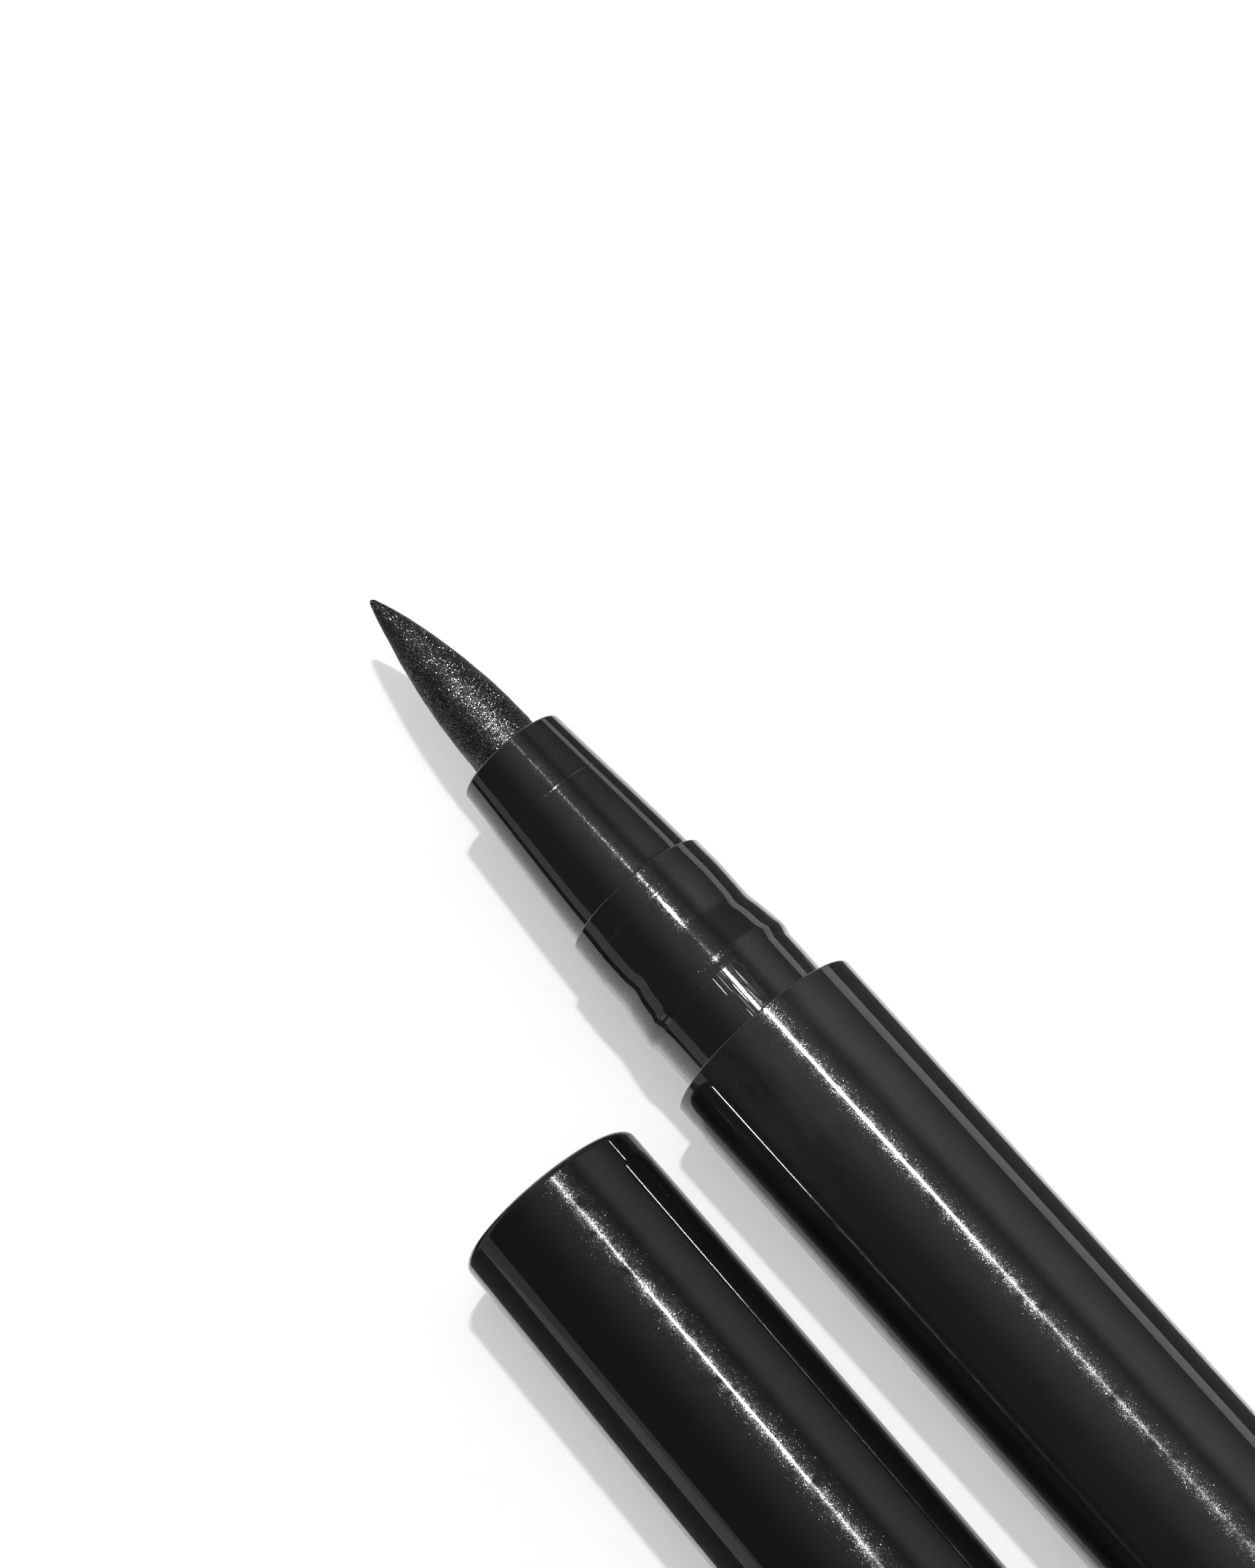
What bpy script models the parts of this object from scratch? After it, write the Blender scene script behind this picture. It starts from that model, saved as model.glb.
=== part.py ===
"""Liquid eyeliner pen with a felt nib, lying flat, and its cap taken off and laid beside it.

Metres, +Z up. The pen lies along X with its nib towards -X and rests on z = 0. The cap lies on
the -Y side of the pen, with its closed end towards -X. The origin is the centre of the whole
part's footprint.

Every turned piece is drawn as an outline of (radius, place) pairs. On the pen a place is the
distance back from the barrel's front edge, and on the cap it is the distance back from the
outer face of the closed end.
"""

import math

import bmesh
import bpy

# Clearances
SEAT_GAP = 0.0003
SEAM_GAP = 0.00008
SEAL_GAP = 0.0001
OVERRUN = 0.001

# Barrel
BARREL_LENGTH = 0.0960
BARREL_RADIUS = 0.0050
BARREL_WALL = 0.00077
BARREL_EDGE = 0.00008
TANK_STEP = 0.0005

# Felt nib
NIB_LENGTH = 0.00985
NIB_RADIUS = 0.00170
NIB_POINT_RADIUS = 0.00008
NIB_COLLAR_LENGTH = 0.0005
NIB_SHANK_RADIUS = 0.0015
NIB_SHANK_LENGTH = 0.0065
NIB_SWELL_SHARE = 0.85

# Nib holder
HOLDER_LENGTH = 0.00867
HOLDER_FRONT_RADIUS = 0.00274
HOLDER_REAR_RADIUS = 0.00336
HOLDER_EDGE = 0.00012
HOLDER_TAIL_RADIUS = 0.00280
HOLDER_TAIL_LENGTH = 0.0060
VENT_COUNT = 3
VENT_WIDTH = 0.0007
VENT_DEPTH = 0.0003
# Shares of the holder's length, and of the way from its front radius to its rear radius
HOLDER_SHARES = ((0.23, 0.235), (0.54, 0.58), (0.77, 0.81))

# Front collar
COLLAR_LENGTH = 0.0087
COLLAR_STEP = 0.00032
COLLAR_EDGE = 0.00008
COLLAR_TAIL_LENGTH = 0.0090
COLLAR_TAIL_WALL = 0.0011
COLLAR_STOP_LENGTH = 0.0005
BEAD_HEIGHT = 0.00011
BAND_PLACE = 0.0012
BAND_LENGTH = 0.0028
# Shares of the collar's length, and of the way from its front radius up to the bead's crest
COLLAR_SHARES = (
    (0.200, 0.15), (0.384, 0.22), (0.487, 0.58), (0.580, 0.88), (0.612, 0.98), (0.628, 1.00),
    (0.645, 0.96), (0.668, 0.81), (0.691, 0.70),
)

# Relay wick
WICK_RADIUS = 0.00095
WICK_POINT_LENGTH = 0.0008
WICK_DIP = 0.0020

# Ink collector
COLLECTOR_NOSE_LENGTH = 0.0082
COLLECTOR_CORE_RADIUS = 0.0021
FIN_COUNT = 15
FIN_PITCH = 0.0011
FIN_THICKNESS = 0.00045
FLANGE_THICKNESS = 0.0010
AIR_SLOT_WIDTH = 0.0009
AIR_SLOT_FLOOR = 0.0019
INK_SLIT_WIDTH = 0.00035
INK_SLIT_FLOOR = 0.0016

# Seal rings, alike on the collector and on the rear plug
SEAL_THICKNESS = 0.00096
GROOVE_CLEARANCE = 0.00012

# Rear plug
PLUG_HEAD_LENGTH = 0.0015
PLUG_HEAD_EDGE = 0.0003
PLUG_STEM_LENGTH = 0.0060
PLUG_STEM_WALL = 0.0009
PLUG_LAND_LENGTH = 0.0014

# Mixing ball
BALL_RADIUS = 0.00198

# Cap shell
CAP_LENGTH = 0.0380
CAP_CLOSED_RADIUS = 0.00474
CAP_TAPER_POWER = 1.6
CAP_WALL = 0.00068
CAP_END_WALL = 0.0012
CAP_END_EDGE = 0.0004
CAP_RIM_EDGE = 0.0001
CAP_BORE_DRAFT = 0.00005
SNAP_BITE = 0.00004
SNAP_RIB_LENGTH = 0.0007
CAP_CURVE_POINTS = 7

# Inner cup of the cap
SEAL_PLACE = 0.0055
CUP_WALL = 0.00046
CUP_END_WALL = 0.0006
CUP_FLANGE_LENGTH = 0.0010
CUP_LIP_LENGTH = 0.0008
CUP_LIP_GAP = 0.00006
NIB_HEADROOM = 0.0020
CUP_RIB_COUNT = 4
CUP_RIB_THICKNESS = 0.0006
CUP_RIB_LENGTH_SHARE = 0.55

# Where the cap lies
CAP_AHEAD = 0.00057
CAP_ASIDE = 0.01217
CAP_YAW = math.radians(1.47)

# Facets
LARGE_FACETS = 48
MIDDLE_FACETS = 36
SMALL_FACETS = 20
SEAL_FACETS = 8
BALL_FACETS = 10
NIB_POINTS = 12
MERGE_DISTANCE = 0.000001
SMOOTH_ANGLE = math.radians(30.0)

# Radii and places that follow from the sizes above
FRONT_BORE_RADIUS = BARREL_RADIUS - BARREL_WALL
TANK_BORE_RADIUS = FRONT_BORE_RADIUS - TANK_STEP
NECK_RADIUS = FRONT_BORE_RADIUS - SEAT_GAP
BEAD_RADIUS = NECK_RADIUS + BEAD_HEIGHT
COLLAR_FRONT_RADIUS = HOLDER_REAR_RADIUS + COLLAR_STEP
COLLAR_PLACE = -COLLAR_LENGTH
HOLDER_PLACE = COLLAR_PLACE - HOLDER_LENGTH
NIB_PLACE = HOLDER_PLACE - NIB_LENGTH
NIB_REAR = HOLDER_PLACE + NIB_SHANK_LENGTH
NIB_POCKET_RADIUS = NIB_SHANK_RADIUS + SEAT_GAP
NIB_POCKET_END = NIB_REAR + SEAT_GAP
WICK_BORE_RADIUS = WICK_RADIUS + SEAT_GAP
HOLDER_SHOULDER_PLACE = COLLAR_PLACE - SEAM_GAP
HOLDER_TAIL_END = COLLAR_PLACE + HOLDER_TAIL_LENGTH
COLLAR_STOP_PLACE = HOLDER_TAIL_END + SEAT_GAP
COLLAR_BORE_RADIUS = NECK_RADIUS - COLLAR_TAIL_WALL
NOSE_RADIUS = COLLAR_BORE_RADIUS - SEAT_GAP
FIN_PLACE = COLLAR_TAIL_LENGTH + SEAT_GAP
NOSE_PLACE = FIN_PLACE - COLLECTOR_NOSE_LENGTH
SEAL_FLANGE_PLACE = FIN_PLACE + FIN_COUNT * FIN_PITCH
GROOVE_LENGTH = SEAL_THICKNESS + 2 * GROOVE_CLEARANCE
COLLECTOR_END = SEAL_FLANGE_PLACE + 2 * FLANGE_THICKNESS + GROOVE_LENGTH
TANK_PLACE = COLLECTOR_END + SEAT_GAP
GROOVE_RADIUS = FRONT_BORE_RADIUS - SEAL_THICKNESS - 2 * SEAL_GAP
SEAL_RING_RADIUS = (FRONT_BORE_RADIUS + GROOVE_RADIUS) / 2
PLUG_SEAM = BARREL_LENGTH + SEAM_GAP
PLUG_FRONT = BARREL_LENGTH - PLUG_STEM_LENGTH
PLUG_END = PLUG_SEAM + PLUG_HEAD_LENGTH
CAP_SHELL_BORE_RADIUS = CAP_CLOSED_RADIUS - CAP_WALL
CAP_MOUTH_RADIUS = BARREL_RADIUS - CAP_WALL
# On the capped pen the rim stops just ahead of the barrel's front edge
CAP_SHIFT = CAP_LENGTH + SEAT_GAP
SNAP_RIB_PLACE = CAP_SHIFT - COLLAR_LENGTH * (1.0 - COLLAR_SHARES[-1][0])
CUP_SEAL_PLACE = CAP_SHIFT + HOLDER_PLACE + SEAL_PLACE
CUP_RADIUS = CAP_SHELL_BORE_RADIUS - SEAT_GAP
CUP_BORE_RADIUS = CUP_RADIUS - CUP_WALL
CUP_MOUTH_PLACE = CUP_SEAL_PLACE + CUP_LIP_LENGTH / 2
CUP_FLANGE_PLACE = CUP_MOUTH_PLACE - CUP_FLANGE_LENGTH
CUP_FLOOR_PLACE = CAP_SHIFT + NIB_PLACE - NIB_HEADROOM
CUP_END_PLACE = CUP_FLOOR_PLACE - CUP_END_WALL
CAP_STEP_PLACE = CUP_FLANGE_PLACE - SEAT_GAP

# The footprint's centre is the origin
FOOTPRINT_ASIDE = (CAP_ASIDE + (CAP_LENGTH - CAP_RIM_EDGE) * math.sin(CAP_YAW)
                   + BARREL_RADIUS * math.cos(CAP_YAW))
PEN_X = -(PLUG_END + NIB_PLACE) / 2
PEN_Y = (FOOTPRINT_ASIDE - BARREL_RADIUS) / 2
CAP_X = PEN_X - CAP_AHEAD
CAP_Y = PEN_Y - CAP_ASIDE


def clear_scene():
    """Removes every object that the scene starts with."""
    for item in list(bpy.data.objects):
        bpy.data.objects.remove(item, do_unlink=True)


def make_collection(name):
    """Adds a collection under the scene's own."""
    collection = bpy.data.collections.new(name)
    bpy.context.scene.collection.children.link(collection)
    return collection


def make_material(name, color, roughness, metallic=0.0):
    """A plain surface with the piece's colour and gloss."""
    material = bpy.data.materials.new(name)
    material.use_nodes = True
    shader = material.node_tree.nodes["Principled BSDF"]
    shader.inputs["Base Color"].default_value = (*color, 1.0)
    shader.inputs["Roughness"].default_value = roughness
    shader.inputs["Metallic"].default_value = metallic
    material.diffuse_color = (*color, 1.0)
    return material


def make_axis(name, collection, place, yaw):
    """An empty whose +Z runs forward along a pen or cap lying flat."""
    axis = bpy.data.objects.new(name, None)
    axis.empty_display_size = BARREL_RADIUS
    axis.location = place
    axis.rotation_euler = (0.0, -math.pi / 2, yaw)
    collection.objects.link(axis)
    return axis


def arc(radius_center, place_center, size, start, end, steps=3):
    """Points of a rounding; 0 degrees faces outward and 90 degrees faces back."""
    points = []
    for step in range(steps + 1):
        angle = math.radians(start + (end - start) * step / steps)
        points.append((radius_center + size * math.cos(angle), place_center + size * math.sin(angle)))
    return points


def add_object(name, mesh, collection, axis, material):
    """Links a mesh as an object that follows an axis."""
    piece = bpy.data.objects.new(name, mesh)
    piece.parent = axis
    collection.objects.link(piece)
    if material is not None:
        mesh.materials.append(material)
    return piece


def add_lathe(name, outline, facets, closed, collection, axis, material):
    """Turns an outline of (radius, place) pairs about the axis.

    A closed outline is a ring in section; an open one starts and ends on the axis.
    """
    mesh = bpy.data.meshes.new(name)
    corners = [(radius, 0.0, -place) for radius, place in outline]
    edges = [(index, index + 1) for index in range(len(corners) - 1)]
    if closed:
        edges.append((len(corners) - 1, 0))
    mesh.from_pydata(corners, edges, [])
    piece = add_object(name, mesh, collection, axis, material)
    screw = piece.modifiers.new("turn", "SCREW")
    screw.axis = "Z"
    screw.steps = facets
    screw.render_steps = facets
    screw.use_merge_vertices = True
    screw.merge_threshold = MERGE_DISTANCE
    depsgraph = bpy.context.evaluated_depsgraph_get()
    turned = bpy.data.meshes.new_from_object(piece.evaluated_get(depsgraph))
    piece.modifiers.clear()
    piece.data = turned
    bpy.data.meshes.remove(mesh)
    turned.name = name
    turned.shade_smooth()
    turned.set_sharp_from_angle(angle=SMOOTH_ANGLE)
    return piece


def add_box(name, size, center, collection, axis):
    """A box in an axis frame, built from a unit cube."""
    work = bmesh.new()
    bmesh.ops.create_cube(work, size=1.0)
    bmesh.ops.scale(work, vec=size, verts=work.verts)
    bmesh.ops.translate(work, vec=center, verts=work.verts)
    mesh = bpy.data.meshes.new(name)
    work.to_mesh(mesh)
    work.free()
    return add_object(name, mesh, collection, axis, None)


def turn_about_axis(piece, angle):
    """Turns a box's mesh about the axis that it follows."""
    cosine, sine = math.cos(angle), math.sin(angle)
    for vertex in piece.data.vertices:
        x, y = vertex.co.x, vertex.co.y
        vertex.co.x = x * cosine - y * sine
        vertex.co.y = x * sine + y * cosine


def combine(piece, tool, operation):
    """Cuts a piece by a tool, or joins the tool to it."""
    boolean = piece.modifiers.new(tool.name, "BOOLEAN")
    boolean.object = tool
    boolean.operation = operation
    boolean.solver = "EXACT"
    tool.hide_render = True
    tool.display_type = "WIRE"


def nib_outline():
    """A bullet point that swells like a sine, then a short base and a thinner shank."""
    outline = [(0.0, NIB_PLACE)]
    for index in range(1, NIB_POINTS + 1):
        share = index / NIB_POINTS
        swell = math.sin(math.pi / 2 * share ** NIB_SWELL_SHARE)
        radius = NIB_POINT_RADIUS + (NIB_RADIUS - NIB_POINT_RADIUS) * swell
        outline.append((radius, NIB_PLACE + NIB_LENGTH * share))
    outline.append((NIB_RADIUS, HOLDER_PLACE + NIB_COLLAR_LENGTH))
    outline.append((NIB_SHANK_RADIUS, HOLDER_PLACE + 2 * NIB_COLLAR_LENGTH))
    outline.append((NIB_SHANK_RADIUS, NIB_REAR))
    outline.append((0.0, NIB_REAR))
    return outline


def holder_outline():
    """A cone with a rounded rim, a tail that plugs into the collar, and a stepped bore."""
    outline = arc(HOLDER_FRONT_RADIUS - HOLDER_EDGE, HOLDER_PLACE + HOLDER_EDGE, HOLDER_EDGE, -90, 0)
    for place_share, rise_share in HOLDER_SHARES:
        radius = HOLDER_FRONT_RADIUS + rise_share * (HOLDER_REAR_RADIUS - HOLDER_FRONT_RADIUS)
        outline.append((radius, HOLDER_PLACE + HOLDER_LENGTH * place_share))
    outline.append((HOLDER_REAR_RADIUS, HOLDER_SHOULDER_PLACE))
    outline.append((HOLDER_TAIL_RADIUS, HOLDER_SHOULDER_PLACE))
    outline += arc(HOLDER_TAIL_RADIUS - HOLDER_EDGE, HOLDER_TAIL_END - HOLDER_EDGE, HOLDER_EDGE, 0, 90)
    outline.append((WICK_BORE_RADIUS, HOLDER_TAIL_END))
    outline.append((WICK_BORE_RADIUS, NIB_POCKET_END))
    outline.append((NIB_POCKET_RADIUS, NIB_POCKET_END))
    outline.append((NIB_POCKET_RADIUS, HOLDER_PLACE))
    return outline


def collar_outline():
    """Front step, faint waist, cone up to the snap bead, neck, seat band and tail, then the bore."""
    outline = arc(COLLAR_FRONT_RADIUS - COLLAR_EDGE, COLLAR_PLACE + COLLAR_EDGE, COLLAR_EDGE, -90, 0)
    for place_share, rise_share in COLLAR_SHARES:
        radius = COLLAR_FRONT_RADIUS + rise_share * (BEAD_RADIUS - COLLAR_FRONT_RADIUS)
        outline.append((radius, COLLAR_PLACE + COLLAR_LENGTH * place_share))
    band_radius = FRONT_BORE_RADIUS - SEAM_GAP
    band_end = BAND_PLACE + BAND_LENGTH
    outline.append((NECK_RADIUS, BAND_PLACE))
    outline.append((band_radius, BAND_PLACE + SEAT_GAP))
    outline.append((band_radius, band_end - SEAT_GAP))
    outline.append((NECK_RADIUS, band_end))
    outline.append((NECK_RADIUS, COLLAR_TAIL_LENGTH))
    outline.append((COLLAR_BORE_RADIUS, COLLAR_TAIL_LENGTH))
    outline.append((COLLAR_BORE_RADIUS, COLLAR_STOP_PLACE + COLLAR_STOP_LENGTH))
    outline.append((NOSE_RADIUS, COLLAR_STOP_PLACE + COLLAR_STOP_LENGTH))
    outline.append((NOSE_RADIUS, COLLAR_STOP_PLACE))
    outline.append((HOLDER_TAIL_RADIUS + SEAT_GAP, COLLAR_STOP_PLACE))
    outline.append((HOLDER_TAIL_RADIUS + SEAT_GAP, COLLAR_PLACE))
    return outline


def wick_outline():
    """A porous rod with a blunt point at each end."""
    front, rear = NIB_POCKET_END, COLLECTOR_END + WICK_DIP
    tip = WICK_RADIUS / 2
    return [(0.0, front), (tip, front), (WICK_RADIUS, front + WICK_POINT_LENGTH),
            (WICK_RADIUS, rear - WICK_POINT_LENGTH), (tip, rear), (0.0, rear)]


def collector_outline():
    """Nose, comb of fins on a core, and a rear flange pair that carries the seal ring."""
    outline = [(NOSE_RADIUS, NOSE_PLACE), (NOSE_RADIUS, FIN_PLACE)]
    for index in range(FIN_COUNT):
        front = FIN_PLACE + index * FIN_PITCH
        outline.append((NECK_RADIUS, front))
        outline.append((NECK_RADIUS, front + FIN_THICKNESS))
        outline.append((COLLECTOR_CORE_RADIUS, front + FIN_THICKNESS))
        outline.append((COLLECTOR_CORE_RADIUS, front + FIN_PITCH))
    groove_front = SEAL_FLANGE_PLACE + FLANGE_THICKNESS
    groove_rear = groove_front + GROOVE_LENGTH
    outline.append((NECK_RADIUS, SEAL_FLANGE_PLACE))
    outline.append((NECK_RADIUS, groove_front))
    outline.append((GROOVE_RADIUS, groove_front))
    outline.append((GROOVE_RADIUS, groove_rear))
    outline.append((NECK_RADIUS, groove_rear))
    outline.append((NECK_RADIUS, COLLECTOR_END))
    outline.append((WICK_BORE_RADIUS, COLLECTOR_END))
    outline.append((WICK_BORE_RADIUS, NOSE_PLACE))
    return outline


def barrel_outline():
    """A tube with crisp ends, a shoulder for the collector and a wider seat for the plug."""
    outline = arc(BARREL_RADIUS - BARREL_EDGE, BARREL_EDGE, BARREL_EDGE, -90, 0)
    outline += arc(BARREL_RADIUS - BARREL_EDGE, BARREL_LENGTH - BARREL_EDGE, BARREL_EDGE, 0, 90)
    outline.append((FRONT_BORE_RADIUS, BARREL_LENGTH))
    outline.append((FRONT_BORE_RADIUS, PLUG_FRONT - SEAT_GAP))
    outline.append((TANK_BORE_RADIUS, PLUG_FRONT - SEAT_GAP))
    outline.append((TANK_BORE_RADIUS, TANK_PLACE))
    outline.append((FRONT_BORE_RADIUS, TANK_PLACE))
    outline.append((FRONT_BORE_RADIUS, 0.0))
    return outline


def plug_outline():
    """A hollow stem with a seal groove, and a head as wide as the barrel."""
    pocket_radius = GROOVE_RADIUS - PLUG_STEM_WALL
    pocket_end = BARREL_LENGTH - PLUG_STEM_WALL
    groove_front = PLUG_FRONT + PLUG_LAND_LENGTH
    groove_rear = groove_front + GROOVE_LENGTH
    outline = [(0.0, pocket_end), (pocket_radius, pocket_end), (pocket_radius, PLUG_FRONT)]
    outline.append((NECK_RADIUS, PLUG_FRONT))
    outline.append((NECK_RADIUS, groove_front))
    outline.append((GROOVE_RADIUS, groove_front))
    outline.append((GROOVE_RADIUS, groove_rear))
    outline.append((NECK_RADIUS, groove_rear))
    outline.append((NECK_RADIUS, PLUG_SEAM))
    outline += arc(BARREL_RADIUS - BARREL_EDGE, PLUG_SEAM + BARREL_EDGE, BARREL_EDGE, -90, 0)
    outline += arc(BARREL_RADIUS - PLUG_HEAD_EDGE, PLUG_END - PLUG_HEAD_EDGE, PLUG_HEAD_EDGE, 0, 90)
    outline.append((0.0, PLUG_END))
    return outline


def cap_radius(place):
    """The cap swells from its closed end to the barrel's own radius at its rim."""
    share = (1.0 - place / CAP_LENGTH) ** CAP_TAPER_POWER
    return BARREL_RADIUS - (BARREL_RADIUS - CAP_CLOSED_RADIUS) * share


def shell_outline():
    """Rounded closed end, tapering side, rim, snap rib, mouth bore and the inner cup's bore."""
    edge_radius = cap_radius(CAP_END_EDGE)
    outline = [(0.0, 0.0)] + arc(edge_radius - CAP_END_EDGE, CAP_END_EDGE, CAP_END_EDGE, -90, 0, 5)
    side_end = CAP_LENGTH - CAP_RIM_EDGE
    for index in range(1, CAP_CURVE_POINTS):
        place = CAP_END_EDGE + (side_end - CAP_END_EDGE) * index / CAP_CURVE_POINTS
        outline.append((cap_radius(place), place))
    outline += arc(BARREL_RADIUS - CAP_RIM_EDGE, side_end, CAP_RIM_EDGE, 0, 90)
    rib_radius = BEAD_RADIUS - SNAP_BITE
    outline.append((CAP_MOUTH_RADIUS, CAP_LENGTH))
    outline.append((CAP_MOUTH_RADIUS, SNAP_RIB_PLACE + SNAP_RIB_LENGTH))
    outline += arc(rib_radius + SNAP_RIB_LENGTH / 2, SNAP_RIB_PLACE + SNAP_RIB_LENGTH / 2,
                   SNAP_RIB_LENGTH / 2, 130, 230, 4)
    outline.append((CAP_MOUTH_RADIUS, SNAP_RIB_PLACE))
    outline.append((CAP_MOUTH_RADIUS - CAP_BORE_DRAFT, CAP_STEP_PLACE))
    outline.append((CAP_SHELL_BORE_RADIUS, CAP_STEP_PLACE))
    outline.append((CAP_SHELL_BORE_RADIUS, CAP_END_WALL))
    outline.append((0.0, CAP_END_WALL))
    return outline


def holder_radius(place):
    """The holder's radius at a distance behind its front, read off its outline."""
    stations = ((0.0, 0.0),) + HOLDER_SHARES + ((1.0, 1.0),)
    place_share = place / HOLDER_LENGTH
    rise_share = 1.0
    for (place_a, rise_a), (place_b, rise_b) in zip(stations, stations[1:]):
        if place_a <= place_share <= place_b:
            rise_share = rise_a + (rise_b - rise_a) * (place_share - place_a) / (place_b - place_a)
    return HOLDER_FRONT_RADIUS + rise_share * (HOLDER_REAR_RADIUS - HOLDER_FRONT_RADIUS)


def cup_outline():
    """A thimble over the nib, with a flange that seats on the shell's step and a sealing lip."""
    lip_radius = holder_radius(SEAL_PLACE) + CUP_LIP_GAP
    flange_radius = CAP_MOUTH_RADIUS - CAP_BORE_DRAFT - SEAM_GAP
    outline = [(0.0, CUP_END_PLACE)]
    outline += arc(CUP_RADIUS - CUP_END_WALL, CUP_END_PLACE + CUP_END_WALL, CUP_END_WALL, -90, 0)
    outline.append((CUP_RADIUS, CUP_FLANGE_PLACE))
    outline.append((flange_radius, CUP_FLANGE_PLACE))
    outline.append((flange_radius, CUP_MOUTH_PLACE))
    outline.append((lip_radius, CUP_MOUTH_PLACE))
    outline.append((lip_radius, CUP_MOUTH_PLACE - CUP_LIP_LENGTH))
    outline.append((CUP_BORE_RADIUS, CUP_MOUTH_PLACE - 2 * CUP_LIP_LENGTH))
    outline.append((CUP_BORE_RADIUS, CUP_FLOOR_PLACE))
    outline.append((0.0, CUP_FLOOR_PLACE))
    return outline


def add_nib(parts, axis):
    """Wet felt, the only soft surface of the pen."""
    felt = make_material("wet_black_felt", (0.010, 0.010, 0.011), 0.55)
    add_lathe("felt_nib", nib_outline(), SMALL_FACETS, False, parts, axis, felt)


def add_holder(parts, cutters, axis):
    """Glossy cone with air vents along its tail."""
    plastic = make_material("holder_gloss_black", (0.008, 0.008, 0.009), 0.12)
    holder = add_lathe("nib_holder", holder_outline(), MIDDLE_FACETS, True, parts, axis, plastic)
    length = HOLDER_TAIL_END - HOLDER_SHOULDER_PLACE
    for index in range(VENT_COUNT):
        size = (VENT_DEPTH + OVERRUN, VENT_WIDTH, length)
        center = (HOLDER_TAIL_RADIUS + (OVERRUN - VENT_DEPTH) / 2, 0.0,
                  -(HOLDER_SHOULDER_PLACE + SEAT_GAP + length / 2))
        vent = add_box(f"vent_cutter_{index + 1}", size, center, cutters, axis)
        turn_about_axis(vent, math.tau * index / VENT_COUNT)
        combine(holder, vent, "DIFFERENCE")


def add_collar(parts, axis):
    """The piece between holder and barrel, with the bead that the cap snaps over."""
    plastic = make_material("collar_gloss_black", (0.008, 0.008, 0.009), 0.10)
    add_lathe("front_collar", collar_outline(), MIDDLE_FACETS, True, parts, axis, plastic)


def add_wick(parts, axis):
    """Bonded fibre that leads the liquid from the tank to the nib."""
    fibre = make_material("ink_soaked_fibre", (0.030, 0.030, 0.032), 0.80)
    add_lathe("relay_wick", wick_outline(), SMALL_FACETS, False, parts, axis, fibre)


def add_collector(parts, cutters, axis):
    """The comb that takes up liquid when the air in the tank warms, vented by a slot."""
    plastic = make_material("collector_grey", (0.120, 0.120, 0.125), 0.35)
    collector = add_lathe("ink_collector", collector_outline(), SMALL_FACETS, True, parts, axis, plastic)
    length = SEAL_FLANGE_PLACE - FIN_PLACE + FIN_THICKNESS - FIN_PITCH
    middle = -(FIN_PLACE + length / 2)
    span = NECK_RADIUS + OVERRUN
    air_size = (span - AIR_SLOT_FLOOR, AIR_SLOT_WIDTH, length + SEAT_GAP)
    air_center = ((span + AIR_SLOT_FLOOR) / 2, 0.0, middle)
    ink_size = (span - INK_SLIT_FLOOR, INK_SLIT_WIDTH, length + SEAT_GAP)
    ink_center = (-(span + INK_SLIT_FLOOR) / 2, 0.0, middle)
    combine(collector, add_box("air_slot_cutter", air_size, air_center, cutters, axis), "DIFFERENCE")
    combine(collector, add_box("ink_slit_cutter", ink_size, ink_center, cutters, axis), "DIFFERENCE")


def add_seal(name, place, parts, axis, material):
    """A rubber ring in its groove."""
    bpy.ops.mesh.primitive_torus_add(
        major_radius=SEAL_RING_RADIUS, minor_radius=SEAL_THICKNESS / 2,
        major_segments=SMALL_FACETS, minor_segments=SEAL_FACETS)
    ring = bpy.context.object
    for owner in list(ring.users_collection):
        owner.objects.unlink(ring)
    parts.objects.link(ring)
    ring.name = name
    ring.data.name = name
    ring.parent = axis
    ring.location = (0.0, 0.0, -place)
    ring.data.materials.append(material)
    ring.data.shade_smooth()


def add_barrel(parts, axis):
    """Glossy tube that is grip and tank at once."""
    plastic = make_material("barrel_gloss_black", (0.009, 0.009, 0.010), 0.08)
    add_lathe("barrel", barrel_outline(), LARGE_FACETS, True, parts, axis, plastic)


def add_plug(parts, axis):
    """Closes the tank at the rear."""
    plastic = make_material("plug_gloss_black", (0.009, 0.009, 0.010), 0.12)
    add_lathe("rear_plug", plug_outline(), LARGE_FACETS, False, parts, axis, plastic)


def add_ball(parts, axis):
    """Steel ball that stirs the liquid; it rolls on the lowest line of the tank."""
    steel = make_material("polished_steel", (0.560, 0.570, 0.580), 0.15, 1.0)
    work = bmesh.new()
    bmesh.ops.create_uvsphere(work, u_segments=2 * BALL_FACETS, v_segments=BALL_FACETS, radius=BALL_RADIUS)
    mesh = bpy.data.meshes.new("mixing_ball")
    work.to_mesh(mesh)
    work.free()
    mesh.shade_smooth()
    ball = add_object("mixing_ball", mesh, parts, axis, steel)
    drop = TANK_BORE_RADIUS - SEAT_GAP - BALL_RADIUS
    ball.location = (-drop, 0.0, -(COLLECTOR_END + WICK_DIP + SEAT_GAP + BALL_RADIUS))


def add_shell(parts, axis):
    """Glossy cap, closed in front."""
    plastic = make_material("cap_gloss_black", (0.008, 0.008, 0.009), 0.07)
    add_lathe("cap_shell", shell_outline(), LARGE_FACETS, False, parts, axis, plastic)


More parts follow.
